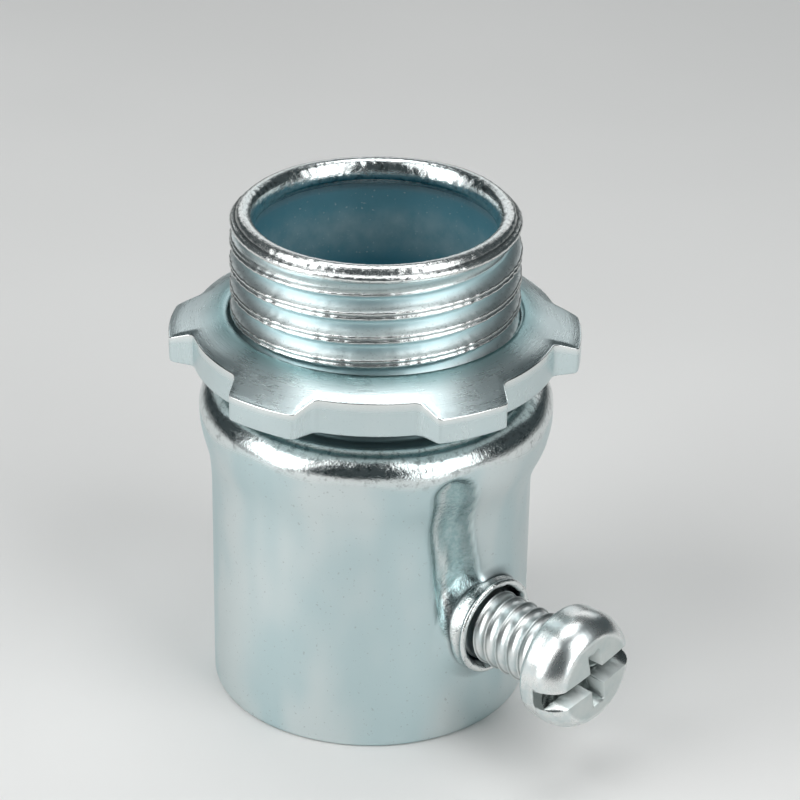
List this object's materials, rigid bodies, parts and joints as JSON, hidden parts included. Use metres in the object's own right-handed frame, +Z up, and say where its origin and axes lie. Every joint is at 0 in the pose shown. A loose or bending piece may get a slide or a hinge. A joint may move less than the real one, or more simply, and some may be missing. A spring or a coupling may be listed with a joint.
{
  "type": "set-screw conduit connector",
  "caption": "Round steel conduit end connector with a threaded nipple, a lugged locknut and a side set screw that clamps the conduit in its socket.",
  "frame": {"origin": "centre of the conduit socket's open rim", "axes": "+Z up the socket's axis towards the threaded nipple, +X along the set screw towards its head"},
  "size_m": [0.0374, 0.0298, 0.0379],
  "materials": {
    "body_steel": "clear blue zinc plating, satin outside and darker inside",
    "locknut_steel": "clear zinc plating, satin with fine scratches",
    "screw_steel": "bright zinc plating"
  },
  "bodies": {
    "body": {"body": "body_steel"},
    "locknut": {"locknut": "locknut_steel"},
    "set_screw": {"set_screw": "screw_steel"}
  },
  "joints": [
    {"name": "locknut_travel", "type": "slide", "parent": "body", "child": "locknut", "axis": [0, 0, 1], "range_m": [-0.0018, 0.0112]},
    {"name": "set_screw_travel", "type": "slide", "parent": "body", "child": "set_screw", "axis": [-1, 0, 0], "range_m": [-0.0012, 0.0058]}
  ]
}
